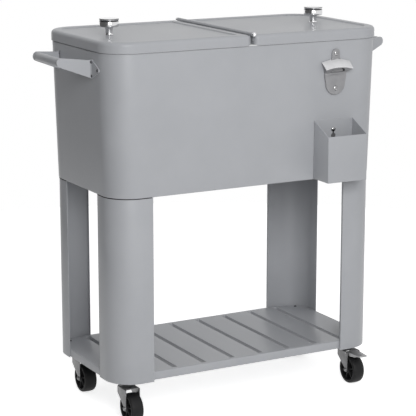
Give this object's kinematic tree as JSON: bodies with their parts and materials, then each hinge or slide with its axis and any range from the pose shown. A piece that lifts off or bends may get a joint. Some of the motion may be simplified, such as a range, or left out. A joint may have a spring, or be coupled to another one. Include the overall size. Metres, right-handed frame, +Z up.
{
  "type": "rolling patio cooler",
  "caption": "Rolling patio cooler: insulated steel tub with two lids hinged on a centre bar, side handles, bottle opener, cap catcher, slotted shelf and casters.",
  "frame": {"origin": "centre of the bounding box on the floor under the wheels", "axes": "+X along the length towards the end with the bottle opener, -Y out of the front, +Z up"},
  "size_m": [0.9526, 0.4779, 1.0003],
  "materials": {
    "powder_coat": "light grey semi-gloss powder coat",
    "tub_plastic": "pale grey moulded plastic, satin",
    "foam": "matt rigid foam, hidden",
    "gasket_rubber": "matt dark rubber",
    "chrome": "polished chrome",
    "bright_steel": "zinc-plated steel",
    "cast_opener": "satin cast metal",
    "dark_screw": "dark screw head",
    "wheel_plastic": "black moulded plastic",
    "drain_plastic": "black moulded plastic"
  },
  "bodies": {
    "chassis": {"bottle_opener": "cast_opener", "bottom_shelf": "powder_coat", "bracket_left_back": "powder_coat", "bracket_left_front": "powder_coat", "bracket_right_back": "powder_coat", "bracket_right_front": "powder_coat", "caster_stem_back_left": "bright_steel", "caster_stem_back_right": "bright_steel", "caster_stem_front_left": "bright_steel", "caster_stem_front_right": "bright_steel", "catcher_screw": "bright_steel", "centre_bar": "powder_coat", "drain_spout": "drain_plastic", "grip_left": "powder_coat", "grip_right": "powder_coat", "hinge_rod": "chrome", "inner_tub": "tub_plastic", "insulation_foam": "foam", "leg_back_left": "powder_coat", "leg_back_right": "powder_coat", "leg_front_left": "powder_coat", "leg_front_right": "powder_coat", "opener_screw_high": "bright_steel", "opener_screw_low": "bright_steel", "outer_shell": "powder_coat", "shelf_screw_back_left": "dark_screw", "shelf_screw_back_right": "dark_screw", "shelf_screw_front_left": "dark_screw", "shelf_screw_front_right": "dark_screw"},
    "left_lid": {"lid_left": "powder_coat", "lid_panel_left": "tub_plastic", "lid_foam_left": "foam", "lid_gasket_left": "gasket_rubber", "hinge_leaf_left": "powder_coat", "knob_left": "chrome"},
    "right_lid": {"lid_right": "powder_coat", "lid_panel_right": "tub_plastic", "lid_foam_right": "foam", "lid_gasket_right": "gasket_rubber", "hinge_leaf_right": "powder_coat", "knob_right": "chrome"},
    "catcher": {"cap_catcher": "powder_coat"},
    "drain_plug": {"drain_cap": "drain_plastic"},
    "caster_front_left": {"fork_front_left": "bright_steel", "axle_front_left": "bright_steel"},
    "roller_front_left": {"wheel_front_left": "wheel_plastic"},
    "caster_front_right": {"fork_front_right": "bright_steel", "axle_front_right": "bright_steel", "pedal_pin_front_right": "bright_steel"},
    "roller_front_right": {"wheel_front_right": "wheel_plastic"},
    "brake_front_right": {"brake_pedal_front_right": "bright_steel"},
    "caster_back_left": {"fork_back_left": "bright_steel", "axle_back_left": "bright_steel"},
    "roller_back_left": {"wheel_back_left": "wheel_plastic"},
    "caster_back_right": {"fork_back_right": "bright_steel", "axle_back_right": "bright_steel", "pedal_pin_back_right": "bright_steel"},
    "roller_back_right": {"wheel_back_right": "wheel_plastic"},
    "brake_back_right": {"brake_pedal_back_right": "bright_steel"}
  },
  "joints": [
    {"name": "left_lid_hinge", "type": "hinge", "parent": "chassis", "child": "left_lid", "pos_m": [0, 0.03068, 0.9633], "axis": [0, 1, 0], "range_deg": [0, 80]},
    {"name": "right_lid_hinge", "type": "hinge", "parent": "chassis", "child": "right_lid", "pos_m": [0, 0.03068, 0.9633], "axis": [0, -1, 0], "range_deg": [0, 80]},
    {"name": "catcher_lift", "type": "slide", "parent": "chassis", "child": "catcher", "axis": [0, -0.0113, 0.9999], "range_m": [0, 0.016]},
    {"name": "drain_cap_pull", "type": "slide", "parent": "chassis", "child": "drain_plug", "axis": [0, 0, -1], "range_m": [0, 0.025]},
    {"name": "swivel_front_left", "type": "hinge", "parent": "chassis", "child": "caster_front_left", "pos_m": [-0.331, -0.10832, 0.097], "axis": [0, 0, 1], "continuous": true},
    {"name": "spin_front_left", "type": "hinge", "parent": "caster_front_left", "child": "roller_front_left", "pos_m": [-0.331, -0.14032, 0.038], "axis": [1, 0, 0], "continuous": true},
    {"name": "swivel_front_right", "type": "hinge", "parent": "chassis", "child": "caster_front_right", "pos_m": [0.331, -0.10832, 0.097], "axis": [0, 0, 1], "continuous": true},
    {"name": "spin_front_right", "type": "hinge", "parent": "caster_front_right", "child": "roller_front_right", "pos_m": [0.331, -0.14032, 0.038], "axis": [1, 0, 0], "continuous": true},
    {"name": "swivel_back_left", "type": "hinge", "parent": "chassis", "child": "caster_back_left", "pos_m": [-0.331, 0.16968, 0.097], "axis": [0, 0, 1], "continuous": true},
    {"name": "spin_back_left", "type": "hinge", "parent": "caster_back_left", "child": "roller_back_left", "pos_m": [-0.331, 0.13768, 0.038], "axis": [1, 0, 0], "continuous": true},
    {"name": "swivel_back_right", "type": "hinge", "parent": "chassis", "child": "caster_back_right", "pos_m": [0.331, 0.16968, 0.097], "axis": [0, 0, 1], "continuous": true},
    {"name": "spin_back_right", "type": "hinge", "parent": "caster_back_right", "child": "roller_back_right", "pos_m": [0.331, 0.13768, 0.038], "axis": [1, 0, 0], "continuous": true},
    {"name": "brake_front_right", "type": "hinge", "parent": "caster_front_right", "child": "brake_front_right", "pos_m": [0.331, -0.13932, 0.0852], "axis": [1, 0, 0], "range_deg": [0, 9]},
    {"name": "brake_back_right", "type": "hinge", "parent": "caster_back_right", "child": "brake_back_right", "pos_m": [0.331, 0.13868, 0.0852], "axis": [1, 0, 0], "range_deg": [0, 9]}
  ]
}
